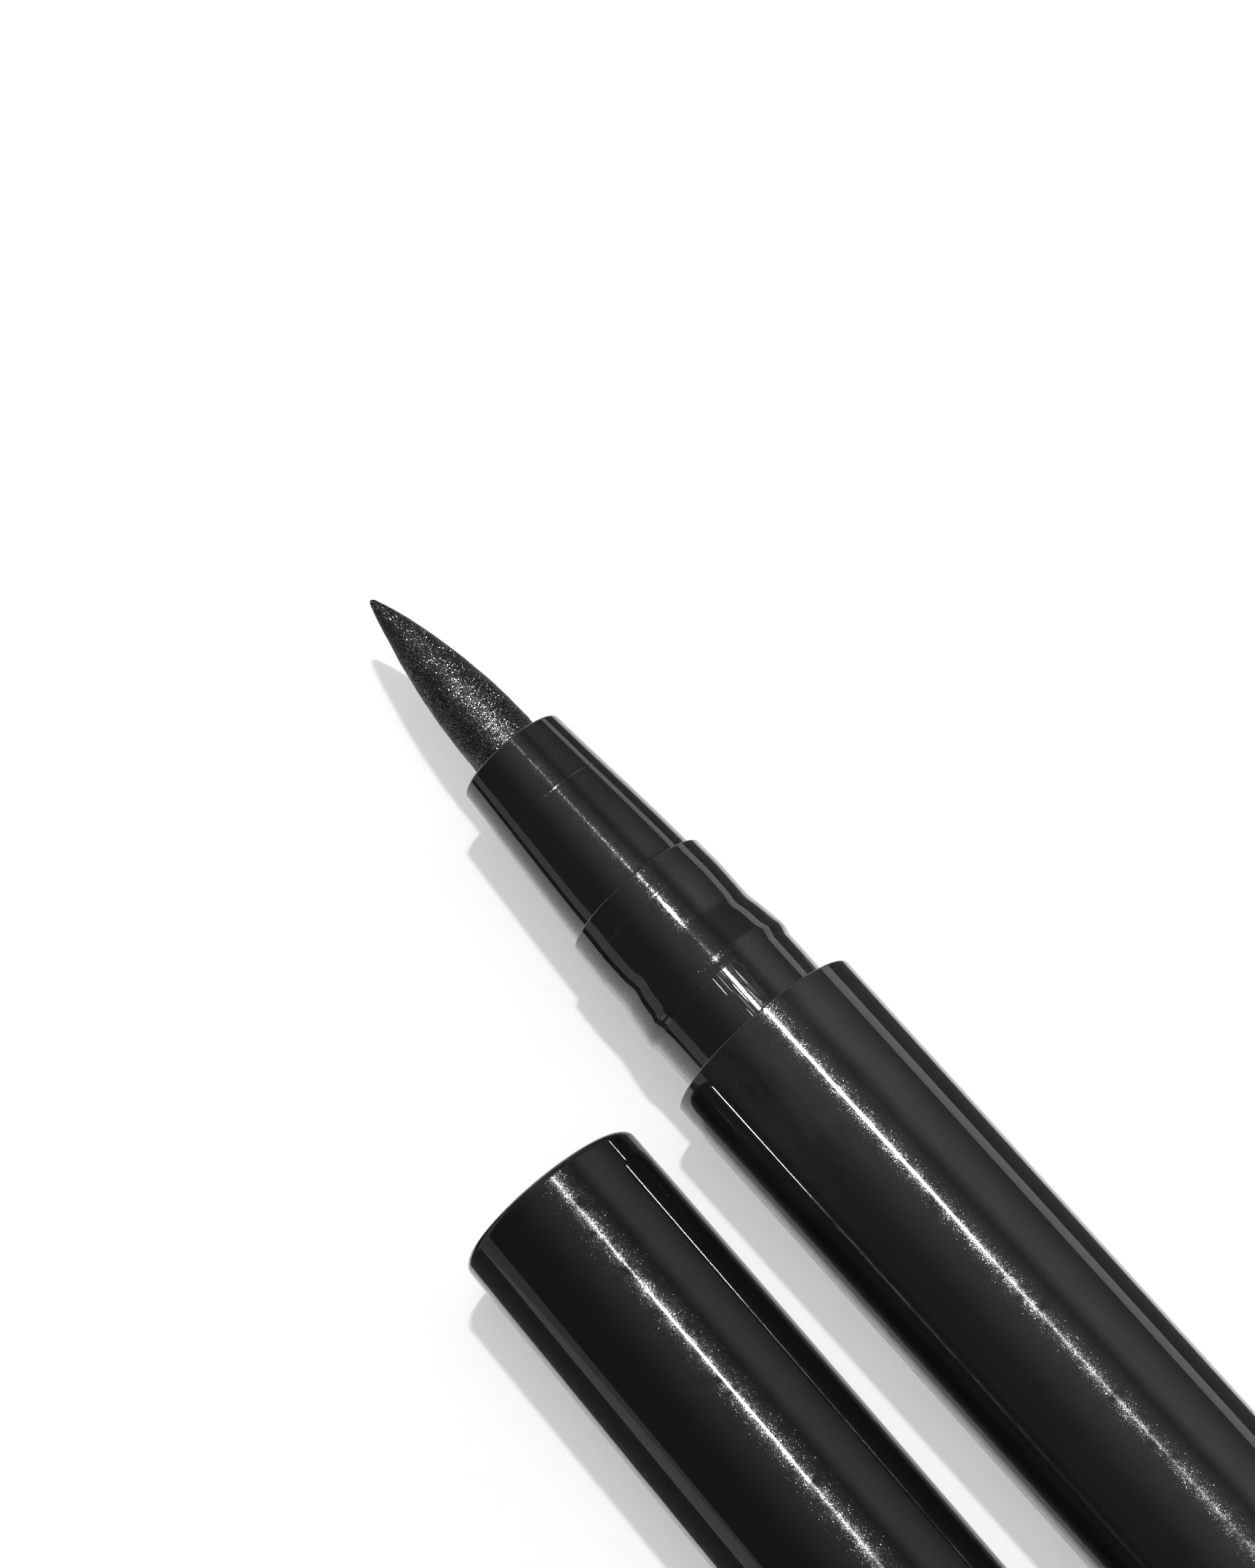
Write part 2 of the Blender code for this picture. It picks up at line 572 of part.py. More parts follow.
def add_cup(parts, cutters, axis):
    """Soft inner cup that keeps the nib wet, centred by short ribs."""
    plastic = make_material("cup_natural_grey", (0.300, 0.300, 0.305), 0.40)
    cup = add_lathe("cap_inner_cup", cup_outline(), MIDDLE_FACETS, False, parts, axis, plastic)
    length = (CUP_FLANGE_PLACE - CUP_END_PLACE) * CUP_RIB_LENGTH_SHARE
    inner = CUP_RADIUS - CUP_WALL / 2
    outer = CAP_SHELL_BORE_RADIUS - SEAM_GAP
    for index in range(CUP_RIB_COUNT):
        size = (outer - inner, CUP_RIB_THICKNESS, length)
        center = ((outer + inner) / 2, 0.0, -(CUP_FLANGE_PLACE - CUP_FLANGE_LENGTH - length / 2))
        rib = add_box(f"cup_rib_{index + 1}", size, center, cutters, axis)
        turn_about_axis(rib, math.tau * index / CUP_RIB_COUNT)
        combine(cup, rib, "UNION")


def build():
    """Builds the pen, then the cap beside it."""
    clear_scene()
    parts = make_collection("liquid_eyeliner")
    cutters = make_collection("cutters")
    pen = make_axis("pen_axis", parts, (PEN_X, PEN_Y, BARREL_RADIUS), 0.0)
    cap = make_axis("cap_axis", parts, (CAP_X, CAP_Y, BARREL_RADIUS), -CAP_YAW)
    rubber = make_material("black_rubber", (0.020, 0.020, 0.020), 0.60)
    add_nib(parts, pen)
    add_holder(parts, cutters, pen)
    add_collar(parts, pen)
    add_wick(parts, pen)
    add_collector(parts, cutters, pen)
    add_seal("collector_seal", SEAL_FLANGE_PLACE + FLANGE_THICKNESS + GROOVE_LENGTH / 2, parts, pen, rubber)
    add_barrel(parts, pen)
    add_ball(parts, pen)
    add_plug(parts, pen)
    add_seal("plug_seal", PLUG_FRONT + PLUG_LAND_LENGTH + GROOVE_LENGTH / 2, parts, pen, rubber)
    add_shell(parts, cap)
    add_cup(parts, cutters, cap)


build()
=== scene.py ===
"""Photo set for a liquid eyeliner pen lying on a white table with its cap taken off beside it.

Metres, +Z up. The frame gives the pen's axis and the barrel's size. The turned pieces are drawn
again here with finer roundings, grooves and felt, each as an outline of (radius, place) pairs.
On the pen a place is the distance back from the barrel's front edge, and on the cap it is the
distance back from the outer face of the closed end.
"""

import math

import bpy
from mathutils import Matrix, Vector, noise


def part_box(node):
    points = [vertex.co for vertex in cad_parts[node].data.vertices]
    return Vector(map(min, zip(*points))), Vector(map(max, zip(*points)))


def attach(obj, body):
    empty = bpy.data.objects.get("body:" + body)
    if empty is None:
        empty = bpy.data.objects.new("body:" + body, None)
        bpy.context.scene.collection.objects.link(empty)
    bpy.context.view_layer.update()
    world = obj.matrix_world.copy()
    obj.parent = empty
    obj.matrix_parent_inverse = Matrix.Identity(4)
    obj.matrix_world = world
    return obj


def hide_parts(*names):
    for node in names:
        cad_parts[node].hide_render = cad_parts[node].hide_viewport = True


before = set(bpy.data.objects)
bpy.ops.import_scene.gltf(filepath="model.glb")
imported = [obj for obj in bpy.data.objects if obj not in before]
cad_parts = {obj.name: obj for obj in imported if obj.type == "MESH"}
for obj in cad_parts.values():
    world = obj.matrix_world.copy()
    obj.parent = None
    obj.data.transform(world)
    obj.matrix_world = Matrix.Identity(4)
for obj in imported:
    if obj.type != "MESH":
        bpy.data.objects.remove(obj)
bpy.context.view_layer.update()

# Sizes read off the frame
BARREL_LOW, BARREL_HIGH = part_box("barrel")
BARREL_LENGTH = BARREL_HIGH.x - BARREL_LOW.x
BARREL_RADIUS = (BARREL_HIGH.z - BARREL_LOW.z) / 2
PEN_FRONT = Vector((BARREL_LOW.x, (BARREL_LOW.y + BARREL_HIGH.y) / 2, BARREL_RADIUS))

# Clearances between pieces
SEAT_GAP = 0.0003
SEAM_GAP = 0.00008
SEAL_GAP = 0.0001

# Barrel
BARREL_WALL = 0.00077
BARREL_EDGE = 0.00008
TANK_STEP = 0.0005
FRONT_BORE_RADIUS = BARREL_RADIUS - BARREL_WALL
TANK_BORE_RADIUS = FRONT_BORE_RADIUS - TANK_STEP
TANK_PLACE = 0.0293

# Front collar
COLLAR_LENGTH = 0.0087
COLLAR_FRONT_RADIUS = 0.00368
COLLAR_EDGE = 0.00008
COLLAR_TAIL_LENGTH = 0.0090
COLLAR_TAIL_WALL = 0.0011
COLLAR_STOP_PLACE = -0.0024
COLLAR_STOP_LENGTH = 0.0005
NECK_RADIUS = FRONT_BORE_RADIUS - SEAT_GAP
BEAD_HEIGHT = 0.00011
BEAD_RADIUS = NECK_RADIUS + BEAD_HEIGHT
BAND_PLACE = 0.0012
BAND_LENGTH = 0.0028
COLLAR_PLACE = -COLLAR_LENGTH
COLLAR_BORE_RADIUS = NECK_RADIUS - COLLAR_TAIL_WALL
NOSE_RADIUS = COLLAR_BORE_RADIUS - SEAT_GAP
COLLAR_RING = 0.00142
COLLAR_NECK_PLACE = -0.0028
COLLAR_BEAD_PLACE = -0.00324
# Shares of the collar's length, and of the way from its front radius up to the bead's crest
COLLAR_SHARES = (
    (0.170, 0.195), (0.195, 0.205), (0.350, 0.165), (0.380, 0.180), (0.487, 0.58), (0.580, 0.88),
    (0.612, 0.98), (0.628, 1.00), (0.645, 0.96), (0.668, 0.81), (0.691, 0.70),
)

# Nib holder
HOLDER_LENGTH = 0.00867
HOLDER_FRONT_RADIUS = 0.00274
HOLDER_REAR_RADIUS = 0.00336
HOLDER_EDGE = 0.00012
HOLDER_TAIL_RADIUS = 0.0028
HOLDER_TAIL_LENGTH = 0.0060
HOLDER_RING = 0.0032
HOLDER_PLACE = COLLAR_PLACE - HOLDER_LENGTH
HOLDER_TAIL_END = COLLAR_PLACE + HOLDER_TAIL_LENGTH
# Shares of the holder's length, and of the way from its front radius to its rear radius
HOLDER_SHARES = ((0.23, 0.235), (0.54, 0.58), (0.77, 0.81), (1.0, 1.0))

# Felt nib
NIB_LENGTH = 0.00985
NIB_RADIUS = 0.0017
NIB_POINT_RADIUS = 0.00008
NIB_COLLAR_LENGTH = 0.0005
NIB_SHANK_RADIUS = 0.0015
NIB_SHANK_LENGTH = 0.0065
NIB_SWELL_SHARE = 0.85
NIB_PLACE = HOLDER_PLACE - NIB_LENGTH
NIB_REAR = HOLDER_PLACE + NIB_SHANK_LENGTH
WICK_BORE_RADIUS = 0.00125

# Lean to the side, grain and lumps of the felt, which fade out over shares of the nib's length
NIB_LEAN = 0.000075
FELT_GRAIN = 0.00011
FELT_GRAIN_HEIGHT = 0.000006
FELT_LUMP = 0.0009
FELT_LUMP_HEIGHT = 0.000022
FELT_LUMP_SINK = 0.4
FELT_POINT_FADE = 1 / 5
FELT_BASE_FADE = 1 / 12

# Rear plug
PLUG_HEAD_LENGTH = 0.0015
PLUG_HEAD_EDGE = 0.0003
PLUG_STEM_LENGTH = 0.0060
PLUG_STEM_WALL = 0.0009
PLUG_LAND_LENGTH = 0.0014
SEAL_THICKNESS = 0.00096
GROOVE_LENGTH = 0.0012
GROOVE_RADIUS = FRONT_BORE_RADIUS - SEAL_THICKNESS - 2 * SEAL_GAP
PLUG_SEAM = BARREL_LENGTH + SEAM_GAP
PLUG_FRONT = BARREL_LENGTH - PLUG_STEM_LENGTH
PLUG_END = PLUG_SEAM + PLUG_HEAD_LENGTH

# Cap
CAP_LENGTH = 0.0380
CAP_CLOSED_RADIUS = 0.00474
CAP_TAPER_POWER = 1.6
CAP_WALL = 0.00068
CAP_END_WALL = 0.0012
CAP_END_EDGE = 0.0004
CAP_RIM_EDGE = 0.0001
CAP_BORE_DRAFT = 0.00005
CAP_TRIM = 0.000003
CAP_STEP_PLACE = 0.02553
SNAP_RIB_PLACE = 0.03561
SNAP_RIB_LENGTH = 0.0007
SNAP_BITE = 0.00004
SNAP_RIB_RADIUS = BEAD_RADIUS - SNAP_BITE
SNAP_RIB_ARC = (130, 230)
CAP_MOUTH_RADIUS = BARREL_RADIUS - CAP_WALL
CAP_SHELL_BORE_RADIUS = CAP_CLOSED_RADIUS - CAP_WALL
CAP_AHEAD = 0.00057
CAP_ASIDE = 0.01217
CAP_YAW = math.radians(1.47)
CAP_FRONT = PEN_FRONT - Vector((CAP_AHEAD, CAP_ASIDE, 0.0))

# Fineness of the turned pieces
FACETS = 192
EDGE_STEPS = 8
HOLDER_CURVE_STEPS = 8
COLLAR_CURVE_STEPS = 6
NIB_STEPS = 110
NIB_STEP_POWER = 1.35
NIB_POINT_STEPS = 4
CAP_END_STEPS = 16
CAP_SIDE_STEPS = 40
RING_SPACING = 0.00045
RING_HOLD = 0.00002
SHORT_STRETCH = 6 * RING_HOLD
SMOOTH_ANGLE = math.radians(35.0)
WORN_BEND = math.radians(10.0)

# Fine turned lines, with their flanks as shares of half the width and of the depth
LINE_WIDTH = 0.00008
LINE_DEPTH = 0.0000025
LINE_FLANK_PLACE = 0.6
LINE_FLANK_DEPTH = 0.7

# Noise: how many finer layers it has, and how strong they are
CLOUD_DETAIL = 3.0
WISP_DETAIL = 5.0
SHEEN_LAYERS = 0.6
PATCH_LAYERS = 0.65

# Noise: the part of its values that is carried to a full range
CLOUD_SPAN = (0.3, 0.7)
CHAFE_SPAN = (0.35, 0.65)
SHEEN_SPAN = (0.35, 0.62)
PATCH_SPAN = (0.36, 0.64)
MOTTLE_SPAN = (0.40, 0.62)
FELT_SPAN = (0.15, 0.40)
GLINT_SPAN = (0.38, 0.58)

# Black plastic
CLOUD_SIZE = 0.004
CLOUD_DEPTH = 0.05
BLUE_CAST = 1.06
PEEL_SIZE = 0.0015
PEEL_HEIGHT = 0.0000004
COAT_IOR = 1.6
CAP_COAT_IOR = 1.5
MOTTLE_SIZE = 0.00009
MOTTLE_GAIN = 2.5
LINE_SPREAD_RANGE = (0.9, 1.15)
QUARTER_TURN = 0.25

# Flecks in the black plastic, with their size as a share of the spacing
SPARK_SPACING = 0.000045
BARREL_MIST_SPACING = 0.000036
CAP_MIST_SPACING = 0.000026
FLECK_SIZE = 0.42
FLECK_RIM = 0.15
FLECK_POWER = 2.0
FLECK_GLOSS = 0.078
FLECK_ROUGH = 0.08
FLECK_LINE = 0.2
FLECK_PATCH = 0.0009
FLECK_PATCH_GAIN = 2.0

# Wear of the black plastic on its edges, behind the snap bead and on it
CHAFE_SIZE = 0.0003
CHAFE_LEAST = 0.2
WORN_LEAN = 0.5
WORN_ROUGH = 0.16
WORN_TONE = 4.0
STREAK_RATIO = 0.025
STREAK_LEAN = 0.24
STREAK_GLOSS = 0.12
STREAK_START = 0.0003
SCUFF_REACH = 0.0004
SCUFF_LEAN = 0.40

# Painted sheen: a paler smoky patch beside the barrel's highlight, placed from the barrel's front on its
# axis: up, to the side and forward
SHEEN_PLACE = (0.0046, -0.0019, -0.0030)
SHEEN_HEART = 0.0015
SHEEN_REACH = 0.0085
SHEEN_SIZE = 0.0010
SHEEN_STRETCH = (1.0, 1.0, 0.3)

# Wet felt
FIBRE_SIZE = 0.00012
FIBRE_STRETCH = (1.0, 1.0, 0.35)
FIBRE_HEIGHT = 0.000006
FIBRE_ROUGH = (0.45, 0.65)
FELT_CLOUD = 0.0011
FELT_DARK = (0.003, 0.003, 0.0031)
FELT_LIGHT = (0.012, 0.012, 0.0124)
FELT_GLOSS = 0.08
GLINT_SPACING = 0.000052
GLINT_SIZE = 0.40
GLINT_POWER = 1.1
GLINT_BASE_LEAN = 0.75
GLINT_POINT_LEAN = 2.4
GLINT_ROUGH = 0.33
GLINT_IOR = 2.25
GLINT_PATCH = 0.0006
GLINT_LEAST = 0.50

# Matt pieces
CLOUD_RATIO = 12

# Finishes of the black pieces
HOLDER_BLACK = {
    "name": "holder_black", "tone": 0.0082, "coat_rough": 0.026, "line_spread": 0.14,
    "base_gloss": 0.034, "fleck_lean": 0.03, "spacing": SPARK_SPACING,
}
COLLAR_BLACK = {
    "name": "collar_black", "tone": 0.0082, "coat_rough": 0.032, "line_spread": 0.14,
    "base_gloss": 0.060, "fleck_lean": 0.10, "spacing": SPARK_SPACING, "worn_by_cap": True,
}
# The barrel's finish has a smoky patch of painted sheen beside its highlight
BARREL_BLACK = {
    "name": "barrel_black", "tone": 0.0096, "coat_rough": 0.024, "line_spread": 0.10,
    "base_gloss": 0.005, "fleck_lean": 0.13, "spacing": BARREL_MIST_SPACING, "sheen_patch": 0.36,
}
PLUG_BLACK = {
    "name": "plug_black", "tone": 0.0096, "coat_rough": 0.024, "line_spread": 0.12,
    "base_gloss": 0.005, "fleck_lean": 0.13, "spacing": BARREL_MIST_SPACING,
}
CAP_BLACK = {
    "name": "cap_black", "tone": 0.0060, "coat_rough": 0.012, "line_spread": 0.10,
    "base_gloss": 0.005, "fleck_lean": 0.20, "spacing": CAP_MIST_SPACING, "coat_ior": CAP_COAT_IOR,
}

# Camera
AIM = PEN_FRONT + Vector((-0.01424, 0.0042, -BARREL_RADIUS))
LOOK = Vector((-0.2397, 0.2056, -0.9488))
CAMERA_DISTANCE = 0.3978
LENS = 200.4
SENSOR = 36.0
CLIP_NEAR = 0.01
CLIP_FAR = 20.0

# Lamps
KEY_PLACE = PEN_FRONT + Vector((-0.1894, 0.1494, 0.975))
KEY_LENGTH = 0.057
KEY_WIDTH = 0.014
KEY_POWER = 5.4
GLEAM_POWER = 22.0
FILL_PLACE = Vector((-0.05, 0.0, 1.5))
FILL_AIM = Vector((-0.05, 0.0, 0.0))
FILL_WIDTH = 1.6
FILL_POWER = 8.6

# Room, where a lean is an angle from straight up towards +Y
ROOM_DIM = 0.075
ROOM_BAND = 0.56
BAND_RISE = (math.radians(31.0), math.radians(50.0))
BAND_FALL = (math.radians(48.0), math.radians(100.0))
BAND_END = (-0.42, -0.26)
BAND_END_SHARE = 0.3
# A painted glow round the key lamp, which only glossy rays see
GLOSS_HALO = 0.34
HALO_RISE = (math.radians(-52.0), math.radians(1.0))
HALO_FALL = (math.radians(16.0), math.radians(40.0))

# Table
TABLE_HALF = 6.0
TABLE_COLOR = 0.62
TABLE_GLOW = 0.44

# Cards of painted reflection on the table, seen only in the gloss, as near and far distances to the side of
# the pen's axis
CARD_HEIGHT = 0.00005
CARD_REACH = 0.25
CARD_SPLIT = 0.006
FLOOR_REACH = 3.0
RIGHT_NEAR, RIGHT_FAR = 0.0106, 0.037
FRONT_NEAR, FRONT_FAR = 0.0170, 0.0270
REAR_NEAR, REAR_FAR = 0.0197, 0.0362
CARD_GLOW = 0.10
FAR_GLOW = 0.56
FRONT_CARD_GLOW = CARD_GLOW / 3
FRONT_FLOOR_GLOW = FAR_GLOW * 0.8
REAR_FLOOR_GLOW = FAR_GLOW * 1.33


def arc(radius_center, place_center, size, start, end, steps=EDGE_STEPS):
    """Points of a rounding; 0 degrees faces outward and 90 degrees faces back."""
    points = []
    for step in range(steps + 1):
        angle = math.radians(start + (end - start) * step / steps)
        points.append((radius_center + size * math.cos(angle), place_center + size * math.sin(angle)))
    return points


def ring_line(radius, place):
    """A shallow line turned into a surface."""
    half = LINE_WIDTH / 2
    flank, flank_radius = half * LINE_FLANK_PLACE, radius - LINE_DEPTH * LINE_FLANK_DEPTH
    return [(radius, place - half), (flank_radius, place - flank), (radius - LINE_DEPTH, place),
            (flank_radius, place + flank), (radius, place + half)]


def curve_through(stations, count):
    """Points evenly spaced along a smooth curve that passes the stations without overshoot."""
    places = [place for place, value in stations]
    values = [value for place, value in stations]
    slopes = [(values[i + 1] - values[i]) / (places[i + 1] - places[i]) for i in range(len(places) - 1)]
    tangents = [slopes[0]]
    for before, after in zip(slopes, slopes[1:]):
        flat = before * after <= 0.0
        tangents.append(0.0 if flat else 2.0 * before * after / (before + after))
    tangents.append(slopes[-1])
    points = []
    for index in range(len(places) - 1):
        span = places[index + 1] - places[index]
        for step in range(count):
            share = step / count
            cubic = share * share * (3.0 - 2.0 * share)
            start_pull = share * (1.0 - share) ** 2 * span * tangents[index]
            end_pull = -share * share * (1.0 - share) * span * tangents[index + 1]
            value = values[index] + (values[index + 1] - values[index]) * cubic + start_pull + end_pull
            points.append((places[index] + span * share, value))
    points.append((places[-1], values[-1]))
    return points


def value_at(points, place):
    """The value at a place on a line through (place, value) points."""
    for (place_a, value_a), (place_b, value_b) in zip(points, points[1:]):
        if place_a <= place <= place_b:
            return value_a + (value_b - value_a) * (place - place_a) / (place_b - place_a)
    return points[-1][1]


def lined_side(front, front_radius, edge, length, rise, shares, steps, ring):
    """A rounded front rim and a curved side with one fine line turned into it.

    The side follows shares of its length and of its rise in radius, and ring is how far behind
    the front the line lies.
    """
    curve = curve_through([(edge / length, 0.0), *shares], steps)
    side = [(front + length * share, front_radius + rise * value) for share, value in curve]
    ring_place = front + ring
    outline = arc(front_radius - edge, front + edge, edge, -90, 0)
    outline += [(radius, place) for place, radius in side[1:] if place < ring_place - LINE_WIDTH]
    outline += ring_line(value_at(side, ring_place), ring_place)
    outline += [(radius, place) for place, radius in side[1:] if place > ring_place + LINE_WIDTH]
    return outline


def refined(outline, closed):
    """The outline with rings close to every corner of a long stretch and evenly along it."""
    corners = outline + [outline[0]] if closed else outline
    points = []
    for (radius_a, place_a), (radius_b, place_b) in zip(corners, corners[1:]):
        length = math.hypot(radius_b - radius_a, place_b - place_a)
        shares = [0.0]
        if length > SHORT_STRETCH:
            hold = RING_HOLD / length
            count = max(1, math.ceil(length / RING_SPACING))
            shares += [hold] + [step / count for step in range(1, count)] + [1.0 - hold]
        for share in shares:
            points.append((radius_a + (radius_b - radius_a) * share, place_a + (place_b - place_a) * share))
    if not closed:
        points.append(corners[-1])
    return points


def axis_matrix(front, yaw):
    """Local +Z runs forward along a pen or cap lying flat, and local +X is up."""
    return Matrix.Translation(front) @ Matrix.Rotation(yaw, 4, "Z") @ Matrix.Rotation(-math.pi / 2, 4, "Y")


def wear_of(points, index, closed):
    """1 on a rounding or a corner, 0 on a straight stretch."""
    count = len(points)
    if not closed and index in (0, count - 1):
        return 0.0
    before, here, after = points[index - 1], points[index], points[(index + 1) % count]
    first = math.atan2(here[0] - before[0], here[1] - before[1])
    second = math.atan2(after[0] - here[0], after[1] - here[1])
    bend = abs((second - first + math.pi) % math.tau - math.pi)
    return min(1.0, bend / WORN_BEND) ** 2


def faces_between(first, second):
    """Faces between two rings of corners, where either may be one point on the axis."""
    faces = []
    for step in range(FACETS):
        following = (step + 1) % FACETS
        if len(first) == 1:
            faces.append((first[0], second[following], second[step]))
        elif len(second) == 1:
            faces.append((first[step], first[following], second[0]))
        else:
            faces.append((first[step], first[following], second[following], second[step]))
    return faces


def turned(name, outline, closed, front, yaw, swell=None):
    """Turns an outline about its axis as one closed body.

    A closed outline is a ring in section; an open one starts and ends on the axis. swell gives
    the extra height of the surface at a local point.
    """
    points = refined(outline, closed)
    corners, wear, rings = [], [], []
    for index, (radius, place) in enumerate(points):
        on_axis = not closed and index in (0, len(points) - 1)
        ring_wear = wear_of(points, index, closed)
        ring = []
        for step in range(1 if on_axis else FACETS):
            angle = math.tau * step / FACETS
            spot = Vector((radius * math.cos(angle), radius * math.sin(angle), -place))
            if swell is not None and not on_axis:
                spot.xy = spot.xy * (1.0 + swell(spot) / radius)
            ring.append(len(corners))
            corners.append(spot)
            wear.append(ring_wear)
        rings.append(ring)
    faces = []
    for first, second in zip(rings, rings[1:] + rings[:1] if closed else rings[1:]):
        faces += faces_between(first, second)
    mesh = bpy.data.meshes.new(name)
    mesh.from_pydata(corners, [], faces)
    mesh.attributes.new("wear", "FLOAT", "POINT").data.foreach_set("value", wear)
    mesh.shade_smooth()
    mesh.set_sharp_from_angle(angle=SMOOTH_ANGLE)
    piece = bpy.data.objects.new(name, mesh)
    bpy.context.scene.collection.objects.link(piece)
    piece.matrix_world = axis_matrix(front, yaw)
    return piece


def nib_outline():
    """A bullet point that swells like a sine, then a thinner shank inside the holder."""
    outline = [(0.0, NIB_PLACE)]
    for index in range(1, NIB_STEPS + 1):
        share = (index / NIB_STEPS) ** NIB_STEP_POWER
        swell = math.sin(math.pi / 2 * share ** NIB_SWELL_SHARE)
        point = NIB_POINT_RADIUS * min(1.0, index / NIB_POINT_STEPS)
        outline.append((point + (NIB_RADIUS - NIB_POINT_RADIUS) * swell, NIB_PLACE + NIB_LENGTH * share))
    return outline + [
        (NIB_RADIUS, HOLDER_PLACE + NIB_COLLAR_LENGTH),
        (NIB_SHANK_RADIUS, HOLDER_PLACE + 2 * NIB_COLLAR_LENGTH),
        (NIB_SHANK_RADIUS, NIB_REAR),
        (0.0, NIB_REAR),
    ]


def felt_height(spot):
    """Lumps, grain and a slight lean of the felt, which fade out at the point and in the holder."""
    share = (-spot.z - NIB_PLACE) / NIB_LENGTH
    from_point = min(1.0, max(0.0, share / FELT_POINT_FADE))
    from_base = min(1.0, max(0.0, (1.0 - share) / FELT_BASE_FADE))
    grain = noise.noise(spot / FELT_GRAIN)
    lump = noise.noise(spot / FELT_LUMP) - FELT_LUMP_SINK
    side = spot.y / spot.xy.length
    height = FELT_GRAIN_HEIGHT * grain + FELT_LUMP_HEIGHT * lump + NIB_LEAN * side
    return from_point * from_base * height


def holder_outline():
    """A cone with a rounded rim, a fine ring line, a tail in the collar, and a stepped bore."""
    side = lined_side(HOLDER_PLACE, HOLDER_FRONT_RADIUS, HOLDER_EDGE, HOLDER_LENGTH,
                      HOLDER_REAR_RADIUS - HOLDER_FRONT_RADIUS, HOLDER_SHARES, HOLDER_CURVE_STEPS,
                      HOLDER_RING)
    shoulder = COLLAR_PLACE - SEAM_GAP
    tail_edge = arc(HOLDER_TAIL_RADIUS - HOLDER_EDGE, HOLDER_TAIL_END - HOLDER_EDGE, HOLDER_EDGE, 0, 90)
    return side[:-1] + [
        (HOLDER_REAR_RADIUS, shoulder),
        (HOLDER_TAIL_RADIUS, shoulder),
        *tail_edge,
        (WICK_BORE_RADIUS, HOLDER_TAIL_END),
        (WICK_BORE_RADIUS, NIB_REAR + SEAT_GAP),
        (NIB_SHANK_RADIUS + SEAT_GAP, NIB_REAR + SEAT_GAP),
        (NIB_SHANK_RADIUS + SEAT_GAP, HOLDER_PLACE),
    ]


def collar_outline():
    """Front step, faint waist, cone up to the snap bead, neck, seat band and tail, then the bore."""
    side = lined_side(COLLAR_PLACE, COLLAR_FRONT_RADIUS, COLLAR_EDGE, COLLAR_LENGTH,
                      BEAD_RADIUS - COLLAR_FRONT_RADIUS, COLLAR_SHARES, COLLAR_CURVE_STEPS, COLLAR_RING)
    band_radius = FRONT_BORE_RADIUS - SEAM_GAP
    band_end = BAND_PLACE + BAND_LENGTH
    return side + [
        (NECK_RADIUS, BAND_PLACE),
        (band_radius, BAND_PLACE + SEAT_GAP),
        (band_radius, band_end - SEAT_GAP),
        (NECK_RADIUS, band_end),
        (NECK_RADIUS, COLLAR_TAIL_LENGTH),
        (COLLAR_BORE_RADIUS, COLLAR_TAIL_LENGTH),
        (COLLAR_BORE_RADIUS, COLLAR_STOP_PLACE + COLLAR_STOP_LENGTH),
        (NOSE_RADIUS, COLLAR_STOP_PLACE + COLLAR_STOP_LENGTH),
        (NOSE_RADIUS, COLLAR_STOP_PLACE),
        (HOLDER_TAIL_RADIUS + SEAT_GAP, COLLAR_STOP_PLACE),
        (HOLDER_TAIL_RADIUS + SEAT_GAP, COLLAR_PLACE),
    ]


def barrel_outline():
    """A tube with crisp ends, a shoulder for the collector and a wider seat for the plug."""
    front_edge = arc(BARREL_RADIUS - BARREL_EDGE, BARREL_EDGE, BARREL_EDGE, -90, 0)
    rear_edge = arc(BARREL_RADIUS - BARREL_EDGE, BARREL_LENGTH - BARREL_EDGE, BARREL_EDGE, 0, 90)
    return front_edge + rear_edge + [
        (FRONT_BORE_RADIUS, BARREL_LENGTH),
        (FRONT_BORE_RADIUS, PLUG_FRONT - SEAT_GAP),
        (TANK_BORE_RADIUS, PLUG_FRONT - SEAT_GAP),
        (TANK_BORE_RADIUS, TANK_PLACE),
        (FRONT_BORE_RADIUS, TANK_PLACE),
        (FRONT_BORE_RADIUS, 0.0),
    ]


def plug_outline():
    """A hollow stem with a seal groove, and a head as wide as the barrel."""
    pocket_radius = GROOVE_RADIUS - PLUG_STEM_WALL
    pocket_end = BARREL_LENGTH - PLUG_STEM_WALL
    groove_front = PLUG_FRONT + PLUG_LAND_LENGTH
    groove_rear = groove_front + GROOVE_LENGTH
    seam_edge = arc(BARREL_RADIUS - BARREL_EDGE, PLUG_SEAM + BARREL_EDGE, BARREL_EDGE, -90, 0)
    end_edge = arc(BARREL_RADIUS - PLUG_HEAD_EDGE, PLUG_END - PLUG_HEAD_EDGE, PLUG_HEAD_EDGE, 0, 90)
    return [
        (0.0, pocket_end),
        (pocket_radius, pocket_end),
        (pocket_radius, PLUG_FRONT),
        (NECK_RADIUS, PLUG_FRONT),
        (NECK_RADIUS, groove_front),
        (GROOVE_RADIUS, groove_front),
        (GROOVE_RADIUS, groove_rear),
        (NECK_RADIUS, groove_rear),
        (NECK_RADIUS, PLUG_SEAM),
        *seam_edge,
        *end_edge,
        (0.0, PLUG_END),
    ]


def cap_radius(place):
    """The cap swells from its closed end to nearly the barrel's own radius at its rim."""
    share = (1.0 - place / CAP_LENGTH) ** CAP_TAPER_POWER
    return BARREL_RADIUS - CAP_TRIM - (BARREL_RADIUS - CAP_CLOSED_RADIUS) * share


